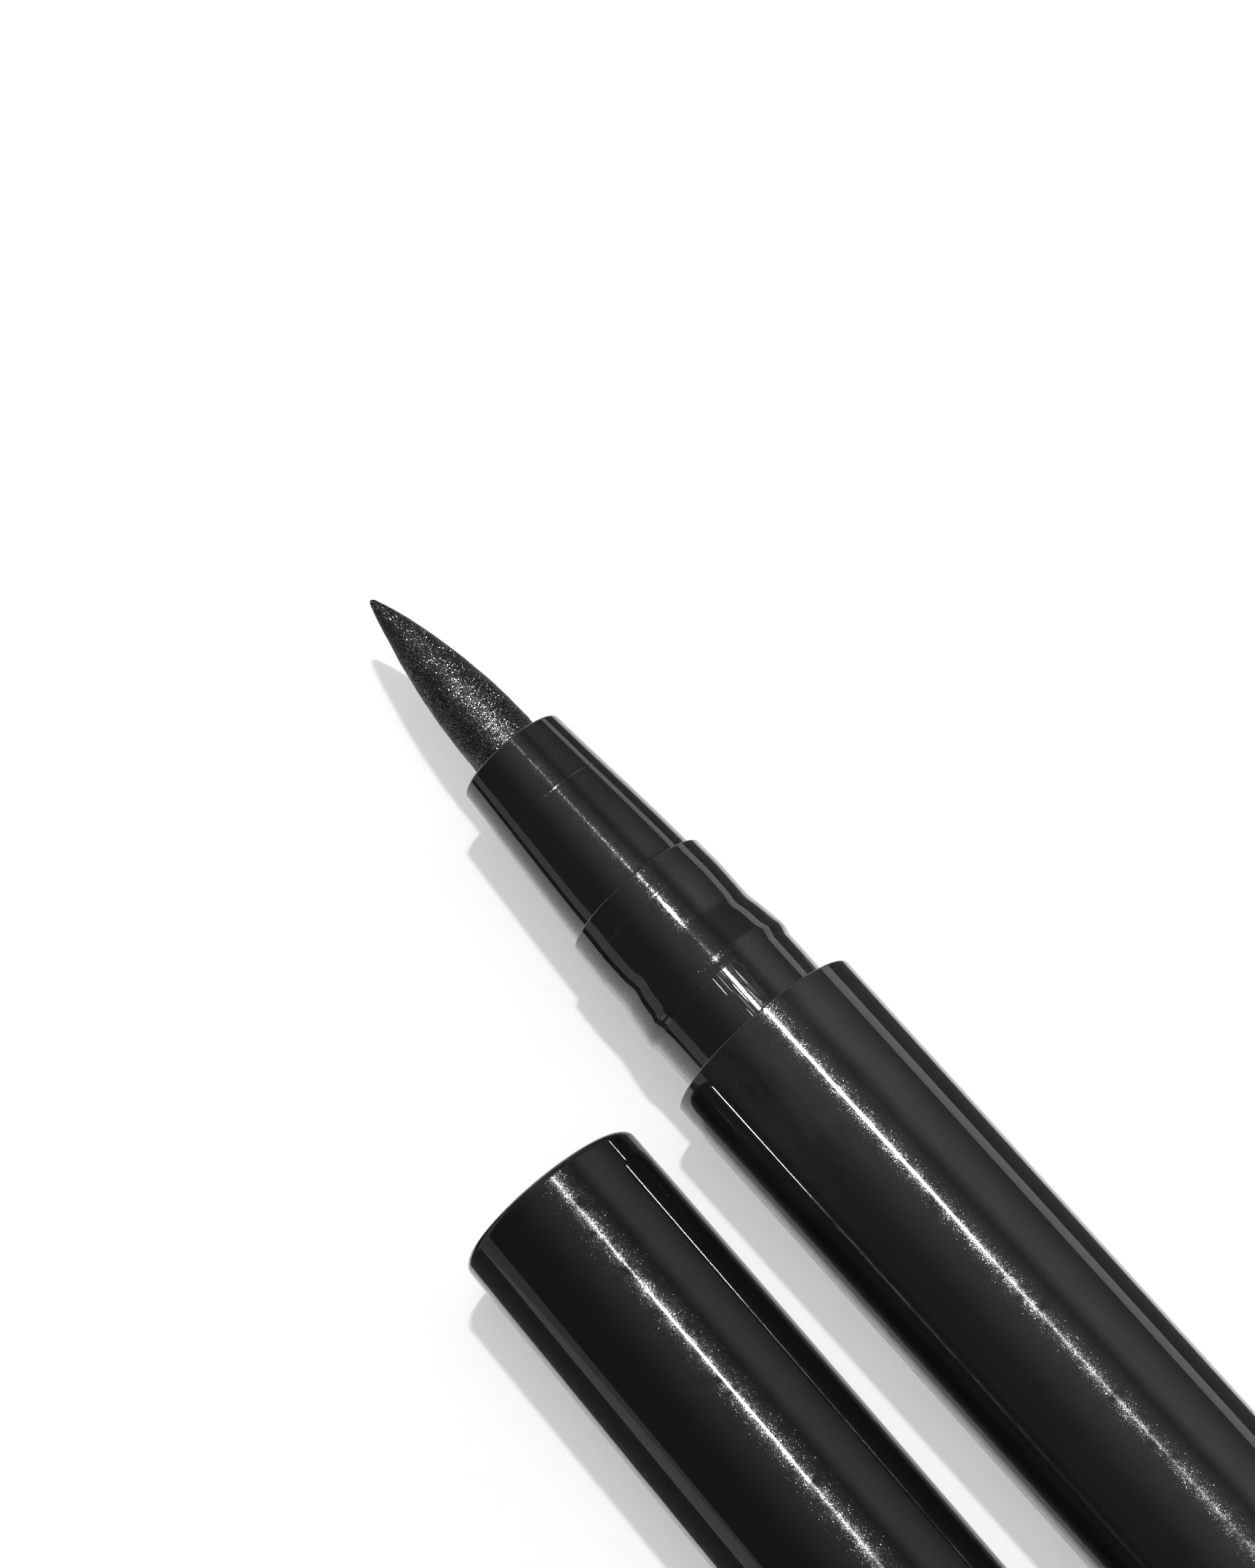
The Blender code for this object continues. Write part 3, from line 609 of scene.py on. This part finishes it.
def shell_outline():
    """Rounded closed end, tapering side, rim, snap rib, mouth bore and the inner cup's bore."""
    edge_radius = cap_radius(CAP_END_EDGE)
    outline = [(0.0, 0.0)]
    outline += arc(edge_radius - CAP_END_EDGE, CAP_END_EDGE, CAP_END_EDGE, -90, 0, CAP_END_STEPS)
    side_end = CAP_LENGTH - CAP_RIM_EDGE
    for index in range(1, CAP_SIDE_STEPS):
        place = CAP_END_EDGE + (side_end - CAP_END_EDGE) * index / CAP_SIDE_STEPS
        outline.append((cap_radius(place), place))
    outline += arc(cap_radius(CAP_LENGTH) - CAP_RIM_EDGE, side_end, CAP_RIM_EDGE, 0, 90)
    rib_half = SNAP_RIB_LENGTH / 2
    return outline + [
        (CAP_MOUTH_RADIUS, CAP_LENGTH),
        (CAP_MOUTH_RADIUS, SNAP_RIB_PLACE + SNAP_RIB_LENGTH),
        *arc(SNAP_RIB_RADIUS + rib_half, SNAP_RIB_PLACE + rib_half, rib_half, *SNAP_RIB_ARC),
        (CAP_MOUTH_RADIUS, SNAP_RIB_PLACE),
        (CAP_MOUTH_RADIUS - CAP_BORE_DRAFT, CAP_STEP_PLACE),
        (CAP_SHELL_BORE_RADIUS, CAP_STEP_PLACE),
        (CAP_SHELL_BORE_RADIUS, CAP_END_WALL),
        (0.0, CAP_END_WALL),
    ]


class Nodes:
    """Adds and links the nodes of one material or world."""

    def __init__(self, tree):
        self.tree = tree

    def add(self, kind, inputs=None, **settings):
        """A node with its settings, and with its inputs set to values or linked to sockets."""
        node = self.tree.nodes.new(kind)
        for key, value in settings.items():
            setattr(node, key, value)
        for key, value in (inputs or {}).items():
            if isinstance(value, bpy.types.NodeSocket):
                self.tree.links.new(value, node.inputs[key])
            else:
                node.inputs[key].default_value = value
        return node

    def spread(self, value, low, high, to_low, to_high, smooth=False):
        """Carries a value from one range to another."""
        kind = "SMOOTHSTEP" if smooth else "LINEAR"
        inputs = {"Value": value, "From Min": low, "From Max": high, "To Min": to_low, "To Max": to_high}
        return self.add("ShaderNodeMapRange", inputs, interpolation_type=kind).outputs["Result"]

    def grain(self, vector, size, detail=2.0, roughness=0.5):
        """Noise whose grains are about a given size."""
        inputs = {"Vector": vector, "Scale": 1.0 / size, "Detail": detail, "Roughness": roughness}
        return self.add("ShaderNodeTexNoise", inputs).outputs["Fac"]

    def stretched(self, vector, scale):
        """The same place with each axis scaled."""
        return self.add("ShaderNodeMapping", {"Vector": vector, "Scale": scale}).outputs["Vector"]

    def math(self, operation, first, second):
        """One calculation with two values."""
        return self.add("ShaderNodeMath", {0: first, 1: second}, operation=operation).outputs["Value"]

    def vector(self, operation, inputs, result="Vector"):
        """One calculation with vectors."""
        return self.add("ShaderNodeVectorMath", inputs, operation=operation).outputs[result]

    def parts(self, vector):
        """The X, Y and Z of a vector."""
        return self.add("ShaderNodeSeparateXYZ", {"Vector": vector}).outputs

    def joined(self, x, y, z):
        """The vector with a given X, Y and Z."""
        return self.add("ShaderNodeCombineXYZ", {"X": x, "Y": y, "Z": z}).outputs["Vector"]

    def between(self, value, dark, light):
        """A colour that runs from dark to light as the value runs from 0 to 1."""
        ramp = self.add("ShaderNodeValToRGB", {"Fac": value})
        ramp.color_ramp.elements[0].color = (*dark, 1.0)
        ramp.color_ramp.elements[1].color = (*light, 1.0)
        return ramp.outputs["Color"]

    def relief(self, height):
        """The surface's direction with a fine relief."""
        inputs = {"Height": height, "Strength": 1.0, "Distance": 1.0}
        return self.add("ShaderNodeBump", inputs).outputs["Normal"]


def start_material(name):
    """A new material with its nodes, its surface shader and the place on the piece."""
    material = bpy.data.materials.new(name)
    material.use_nodes = True
    nodes = Nodes(material.node_tree)
    shader = material.node_tree.nodes["Principled BSDF"]
    place = nodes.add("ShaderNodeTexCoord").outputs["Object"]
    return material, nodes, shader, place


def flecked(nodes, place, normal, spacing, size, lean, power):
    """Small flat flecks that lean at random.

    size is a fleck's radius as a share of the spacing, and a higher power leaves more of them
    nearly flat. Gives the mask of the flecks and the surface's direction with them.
    """
    cells = nodes.add("ShaderNodeTexVoronoi", {"Vector": place, "Scale": 1.0 / spacing}).outputs
    rim = (size * (1.0 - FLECK_RIM), size * (1.0 + FLECK_RIM))
    mask = nodes.spread(cells["Distance"], *rim, 1.0, 0.0)
    draws = nodes.add("ShaderNodeSeparateColor", {"Color": cells["Color"]}).outputs
    side_x = nodes.spread(draws["Red"], 0.0, 1.0, -1.0, 1.0)
    side_y = nodes.spread(draws["Green"], 0.0, 1.0, -1.0, 1.0)
    tilt = nodes.joined(side_x, side_y, nodes.math("SUBTRACT", side_x, side_y))
    share = nodes.math("POWER", draws["Blue"], power)
    reach = nodes.math("MULTIPLY", share, nodes.math("MULTIPLY", mask, lean))
    leaning = nodes.vector("ADD", {0: normal, 1: nodes.vector("SCALE", {0: tilt, "Scale": reach})})
    return mask, nodes.vector("NORMALIZE", {0: leaning})


def drawn_out(nodes, place, behind):
    """The same place, squeezed along the axis behind a height, so that flecks there turn to streaks."""
    parts = nodes.parts(place)
    ahead = nodes.math("MAXIMUM", parts["Z"], behind)
    depth = nodes.math("SUBTRACT", nodes.math("MINIMUM", parts["Z"], behind), behind)
    along = nodes.math("ADD", ahead, nodes.math("MULTIPLY", depth, STREAK_RATIO))
    return nodes.joined(parts["X"], parts["Y"], along)


def rubbed_by_cap(nodes, place, lean, gloss):
    """Streaks on the neck and scuffs on the bead: where the flecks lie, how far they lean, their gloss."""
    neck = -COLLAR_NECK_PLACE
    spots = drawn_out(nodes, place, neck)
    height = nodes.parts(place)["Z"]
    lean = nodes.spread(height, neck, neck + STREAK_START, STREAK_LEAN, lean)
    from_bead = nodes.math("ABSOLUTE", nodes.math("ADD", height, COLLAR_BEAD_PLACE), 0.0)
    lean = nodes.math("MAXIMUM", lean, nodes.spread(from_bead, 0.0, SCUFF_REACH, SCUFF_LEAN, 0.0))
    gloss = nodes.spread(height, neck, neck + 2 * STREAK_START, STREAK_GLOSS, gloss)
    return spots, lean, gloss


def painted_sheen(nodes, place, cloud, strength):
    """The cloud with wisps of painted sheen added round one place beside the highlight."""
    away = nodes.vector("DISTANCE", {0: place, 1: SHEEN_PLACE}, "Value")
    sheen_noise = nodes.grain(nodes.stretched(place, SHEEN_STRETCH), SHEEN_SIZE, WISP_DETAIL, SHEEN_LAYERS)
    sheen_wisps = nodes.spread(sheen_noise, *SHEEN_SPAN, 0.0, strength)
    nearby = nodes.spread(away, SHEEN_HEART, SHEEN_REACH, 1.0, 0.0, True)
    return nodes.math("ADD", cloud, nodes.math("MULTIPLY", sheen_wisps, nearby))


def gloss_black(name, tone, coat_rough, line_spread, base_gloss, fleck_lean, spacing, worn_by_cap=False,
                coat_ior=COAT_IOR, sheen_patch=0.0):
    """Black plastic with a clear polish over a base that is turned round its axis.

    line_spread is how far the base draws a highlight out along the axis, base_gloss how strongly,
    fleck_lean how far its flecks scatter it, and spacing how fine they are. Where the cap slides
    over the piece, its bead is scuffed and fine streaks run along its neck. coat_ior sets how
    strongly the polish mirrors, and the last argument how pale a smoky patch of painted sheen
    beside the highlight is.
    """
    material, nodes, shader, place = start_material(name)
    link = material.node_tree.links.new
    cloud = nodes.spread(nodes.grain(place, CLOUD_SIZE, CLOUD_DETAIL), *CLOUD_SPAN, 0.0, CLOUD_DEPTH)
    # A paler smoky patch of painted sheen beside the highlight is added to the cloud of the base colour
    cloud_and_sheen = painted_sheen(nodes, place, cloud, sheen_patch) if sheen_patch > 0.0 else cloud
    wear = nodes.add("ShaderNodeAttribute", attribute_name="wear").outputs["Fac"]
    chafe = nodes.spread(nodes.grain(place, CHAFE_SIZE), *CHAFE_SPAN, CHAFE_LEAST, 1.0)
    rubbed = nodes.math("MULTIPLY", wear, chafe)
    dark, worn = (tone, tone, tone * BLUE_CAST), (tone * WORN_TONE,) * 3
    link(nodes.between(nodes.math("ADD", cloud_and_sheen, rubbed), dark, worn), shader.inputs["Base Color"])

    even = nodes.relief(nodes.math("MULTIPLY", nodes.grain(place, PEEL_SIZE), PEEL_HEIGHT))
    patch = nodes.grain(place, FLECK_PATCH, WISP_DETAIL, PATCH_LAYERS)
    patch = nodes.spread(patch, *PATCH_SPAN, 0.0, FLECK_PATCH_GAIN)
    spots, lean, fleck_gloss = place, fleck_lean, nodes.math("MULTIPLY", patch, FLECK_GLOSS)
    if worn_by_cap:
        spots, lean, fleck_gloss = rubbed_by_cap(nodes, place, lean, fleck_gloss)
    shader.inputs["Coat Weight"].default_value = 1.0
    shader.inputs["Coat IOR"].default_value = coat_ior
    link(nodes.spread(rubbed, 0.0, 1.0, coat_rough, WORN_ROUGH), shader.inputs["Coat Roughness"])
    link(even, shader.inputs["Coat Normal"])

    lean = nodes.spread(rubbed, 0.0, 1.0, lean, WORN_LEAN)
    mask, normal = flecked(nodes, spots, even, spacing, FLECK_SIZE, lean, FLECK_POWER)
    link(normal, shader.inputs["Normal"])
    mottle = nodes.spread(nodes.grain(place, MOTTLE_SIZE), *MOTTLE_SPAN, 0.0, base_gloss * MOTTLE_GAIN)
    link(nodes.spread(mask, 0.0, 1.0, mottle, fleck_gloss), shader.inputs["Specular IOR Level"])
    low, high = (line_spread * factor for factor in LINE_SPREAD_RANGE)
    smooth = nodes.spread(cloud, 0.0, CLOUD_DEPTH, low, high)
    coarse = nodes.spread(mask, 0.0, 1.0, 0.0, FLECK_ROUGH)
    link(nodes.math("ADD", smooth, coarse), shader.inputs["Roughness"])
    link(nodes.spread(mask, 0.0, 1.0, 1.0, FLECK_LINE), shader.inputs["Anisotropic"])
    shader.inputs["Anisotropic Rotation"].default_value = QUARTER_TURN
    tangent = nodes.add("ShaderNodeTangent", direction_type="RADIAL", axis="Z").outputs["Tangent"]
    link(tangent, shader.inputs["Tangent"])
    return material


def wet_felt():
    """Black felt soaked in liquid, with flecks of wet fibre that glint where they face the lamp."""
    material, nodes, shader, place = start_material("wet_black_felt")
    link = material.node_tree.links.new
    fibres = nodes.grain(nodes.stretched(place, FIBRE_STRETCH), FIBRE_SIZE)
    cloud = nodes.grain(place, FELT_CLOUD)
    tone = nodes.spread(nodes.math("MULTIPLY", fibres, cloud), *FELT_SPAN, 0.0, 1.0)
    link(nodes.between(tone, FELT_DARK, FELT_LIGHT), shader.inputs["Base Color"])
    relief = nodes.relief(nodes.math("MULTIPLY", fibres, FIBRE_HEIGHT))
    link(relief, shader.inputs["Normal"])
    link(nodes.spread(fibres, *CLOUD_SPAN, *FIBRE_ROUGH), shader.inputs["Roughness"])
    shader.inputs["Specular IOR Level"].default_value = FELT_GLOSS

    height = nodes.parts(place)["Z"]
    lean = nodes.spread(height, -HOLDER_PLACE, -NIB_PLACE, GLINT_BASE_LEAN, GLINT_POINT_LEAN)
    mask, normal = flecked(nodes, place, relief, GLINT_SPACING, GLINT_SIZE, lean, GLINT_POWER)
    link(normal, shader.inputs["Coat Normal"])
    patch = nodes.grain(place, GLINT_PATCH, CLOUD_DETAIL)
    patch = nodes.spread(patch, *GLINT_SPAN, GLINT_LEAST, 1.0)
    link(nodes.math("MULTIPLY", mask, patch), shader.inputs["Coat Weight"])
    shader.inputs["Coat Roughness"].default_value = GLINT_ROUGH
    shader.inputs["Coat IOR"].default_value = GLINT_IOR
    return material


def matt_piece(name, dark, light, grain_size, rough_low, rough_high, grain_height, metallic=0.0):
    """A plain moulded, fibrous, rubber or metal surface with cloudy colour and fine grain."""
    material, nodes, shader, place = start_material(name)
    link = material.node_tree.links.new
    grain = nodes.grain(place, grain_size, CLOUD_DETAIL)
    cloud = nodes.spread(nodes.grain(place, grain_size * CLOUD_RATIO), *CLOUD_SPAN, 0.0, 1.0)
    link(nodes.between(cloud, dark, light), shader.inputs["Base Color"])
    link(nodes.spread(grain, *CLOUD_SPAN, rough_low, rough_high), shader.inputs["Roughness"])
    shader.inputs["Metallic"].default_value = metallic
    link(nodes.relief(nodes.math("MULTIPLY", grain, grain_height)), shader.inputs["Normal"])
    return material


def dress(piece, material, body, node):
    """The piece stands for a node of the frame, in its body and its finish."""
    piece.data.materials.append(material)
    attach(piece, body)
    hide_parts(node)


def add_pen():
    """The pen's outer pieces, drawn finely."""
    nib = turned("felt_nib_fine", nib_outline(), False, PEN_FRONT, 0.0, felt_height)
    dress(nib, wet_felt(), "pen", "felt_nib")
    for node, outline, closed, finish, slot in (
        ("nib_holder", holder_outline(), True, HOLDER_BLACK, "holder_plastic"),
        ("front_collar", collar_outline(), True, COLLAR_BLACK, "collar_plastic"),
        ("barrel", barrel_outline(), True, BARREL_BLACK, "barrel_plastic"),
        ("rear_plug", plug_outline(), False, PLUG_BLACK, "plug_plastic"),
    ):
        piece = turned(node + "_fine", outline, closed, PEN_FRONT, 0.0)
        dress(piece, gloss_black(**finish), "pen", node)


def add_cap():
    """The cap's shell, drawn finely."""
    shell = turned("cap_shell_fine", shell_outline(), False, CAP_FRONT, -CAP_YAW)
    dress(shell, gloss_black(**CAP_BLACK), "cap", "cap_shell")


def dress_inner_nodes():
    """Materials of the pieces that stay as the frame has them."""
    rubber = matt_piece("seal_black_rubber", (0.012, 0.012, 0.012), (0.024, 0.024, 0.024),
                        0.0001, 0.50, 0.70, 0.000002)
    fibre = matt_piece("ink_soaked_fibre", (0.012, 0.012, 0.013), (0.050, 0.050, 0.052),
                       0.00008, 0.65, 0.90, 0.000010)
    comb = matt_piece("collector_grey", (0.100, 0.100, 0.104), (0.150, 0.150, 0.156),
                      0.0002, 0.28, 0.42, 0.000001)
    cup = matt_piece("cup_natural_grey", (0.270, 0.270, 0.272), (0.330, 0.330, 0.334),
                     0.0002, 0.34, 0.48, 0.000001)
    steel = matt_piece("polished_steel", (0.520, 0.530, 0.540), (0.600, 0.610, 0.620),
                       0.0001, 0.10, 0.20, 0.0000005, 1.0)
    finishes = {"collector_seal": rubber, "plug_seal": rubber, "relay_wick": fibre,
                "ink_collector": comb, "cap_inner_cup": cup, "mixing_ball": steel}
    for name, material in finishes.items():
        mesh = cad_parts[name].data
        mesh.materials.clear()
        mesh.materials.append(material)


def add_camera():
    """A long lens that looks down on the pen's front half."""
    data = bpy.data.cameras.new("camera")
    data.lens = LENS
    data.sensor_width = SENSOR
    data.sensor_fit = "AUTO"
    data.clip_start = CLIP_NEAR
    data.clip_end = CLIP_FAR
    camera = bpy.data.objects.new("camera", data)
    bpy.context.scene.collection.objects.link(camera)
    look = LOOK.normalized()
    camera.location = AIM - look * CAMERA_DISTANCE
    camera.rotation_euler = look.to_track_quat("-Z", "Y").to_euler()
    bpy.context.scene.camera = camera


def add_lamp(name, place, aim, length, width, power):
    """A rounded soft lamp that faces a point."""
    data = bpy.data.lights.new(name, "AREA")
    data.shape = "ELLIPSE"
    data.size = length
    data.size_y = width
    data.energy = power
    lamp = bpy.data.objects.new(name, data)
    bpy.context.scene.collection.objects.link(lamp)
    lamp.location = place
    lamp.rotation_euler = (aim - place).to_track_quat("-Z", "Y").to_euler()
    return lamp


def flat_sheet(name, low, high, height):
    """A flat matt rectangle that lies on the table, with its material's nodes and shader."""
    mesh = bpy.data.meshes.new(name)
    outline = ((low.x, low.y), (high.x, low.y), (high.x, high.y), (low.x, high.y))
    mesh.from_pydata([(x, y, height) for x, y in outline], [], [(0, 1, 2, 3)])
    sheet = bpy.data.objects.new(name, mesh)
    bpy.context.scene.collection.objects.link(sheet)
    material, nodes, shader, _ = start_material(name)
    shader.inputs["Roughness"].default_value = 1.0
    shader.inputs["Specular IOR Level"].default_value = 0.0
    mesh.materials.append(material)
    return sheet, nodes, shader


def add_card(name, low, high, glow):
    """A glowing card on the table that only shows in the gloss of the pieces, as a painted reflection."""
    card, _, shader = flat_sheet(name, low, high, CARD_HEIGHT)
    shader.inputs["Base Color"].default_value = (0.0, 0.0, 0.0, 1.0)
    shader.inputs["Emission Color"].default_value = (1.0, 1.0, 1.0, 1.0)
    shader.inputs["Emission Strength"].default_value = glow
    card.visible_camera = False
    card.visible_diffuse = False
    card.visible_shadow = False
    card.visible_transmission = False


def add_table():
    """A wide white table that glows a little to the eye, so that shadows on it stay light."""
    corner = Vector((TABLE_HALF, TABLE_HALF))
    _, nodes, shader = flat_sheet("table", -corner, corner, 0.0)
    shader.inputs["Base Color"].default_value = (TABLE_COLOR, TABLE_COLOR, TABLE_COLOR, 1.0)
    shader.inputs["Emission Color"].default_value = (1.0, 1.0, 1.0, 1.0)
    rays = nodes.add("ShaderNodeLightPath").outputs
    seen = nodes.math("MAXIMUM", rays["Is Camera Ray"], rays["Is Glossy Ray"])
    seen = nodes.math("MAXIMUM", seen, rays["Is Transmission Ray"])
    glow = nodes.spread(seen, 0.0, 1.0, 0.0, TABLE_GLOW)
    nodes.tree.links.new(glow, shader.inputs["Emission Strength"])


def add_painted_reflections():
    """Painted reflections on both sides of the pen: dim cards that darken the edges of the gloss, and paler
    ones that stand for the table further out.
    """
    y = PEN_FRONT.y
    split = PEN_FRONT.x - CARD_SPLIT
    for name, low, high, glow in (
        ("right_dark_reflection", (-CARD_REACH, y + RIGHT_NEAR), (CARD_REACH, y + RIGHT_FAR), CARD_GLOW),
        ("left_front_dark_reflection", (-CARD_REACH, y - FRONT_FAR), (split, y - FRONT_NEAR), FRONT_CARD_GLOW),
        ("left_front_floor_reflection", (-CARD_REACH, y - FLOOR_REACH), (split, y - FRONT_FAR), FRONT_FLOOR_GLOW),
        ("left_rear_dark_reflection", (split, y - REAR_FAR), (CARD_REACH, y - REAR_NEAR), CARD_GLOW),
        ("left_rear_floor_reflection", (split, y - FLOOR_REACH), (CARD_REACH, y - REAR_FAR), REAR_FLOOR_GLOW),
    ):
        add_card(name, Vector(low), Vector(high), glow)


def light_room():
    """A dim room that glows in one band low towards +Y, with a painted glow round the key lamp that shows
    only in the gloss.
    """
    world = bpy.data.worlds.new("room")
    bpy.context.scene.world = world
    world.use_nodes = True
    nodes = Nodes(world.node_tree)
    sky = world.node_tree.nodes["Background"]
    parts = nodes.parts(nodes.add("ShaderNodeTexCoord").outputs["Generated"])
    lean = nodes.math("ARCTAN2", parts["Y"], parts["Z"])
    inner = nodes.spread(lean, *BAND_RISE, 0.0, ROOM_BAND, True)
    outer = nodes.spread(lean, *BAND_FALL, 1.0, 0.0, True)
    end = nodes.spread(parts["X"], *BAND_END, BAND_END_SHARE, 1.0, True)
    band = nodes.math("MULTIPLY", nodes.math("MULTIPLY", inner, outer), end)
    # The halo round the key lamp is painted: only glossy rays see it
    far_side = nodes.spread(lean, *HALO_FALL, GLOSS_HALO, 0.0, True)
    near_side = nodes.spread(lean, *HALO_RISE, 0.0, GLOSS_HALO, True)
    painted_halo = nodes.math("MINIMUM", far_side, near_side)
    glossy = nodes.add("ShaderNodeLightPath").outputs["Is Glossy Ray"]
    soft = nodes.math("ADD", band, nodes.math("MULTIPLY", painted_halo, glossy))
    world.node_tree.links.new(nodes.math("ADD", soft, ROOM_DIM), sky.inputs["Strength"])
    sky.inputs["Color"].default_value = (1.0, 1.0, 1.0, 1.0)


def light_stage():
    """A small key lamp high in front, its gleam in the gloss, and a wide fill for matt surfaces."""
    add_lamp("key", KEY_PLACE, PEN_FRONT, KEY_LENGTH, KEY_WIDTH, KEY_POWER)
    gleam = add_lamp("gleam", KEY_PLACE, PEN_FRONT, KEY_LENGTH, KEY_WIDTH, GLEAM_POWER)
    gleam.visible_diffuse = False
    fill = add_lamp("fill", FILL_PLACE, FILL_AIM, FILL_WIDTH, FILL_WIDTH, FILL_POWER)
    fill.visible_glossy = False


add_pen()
add_cap()
dress_inner_nodes()
add_camera()
add_table()
add_painted_reflections()
light_room()
light_stage()
bpy.context.scene.view_settings.view_transform = "Standard"
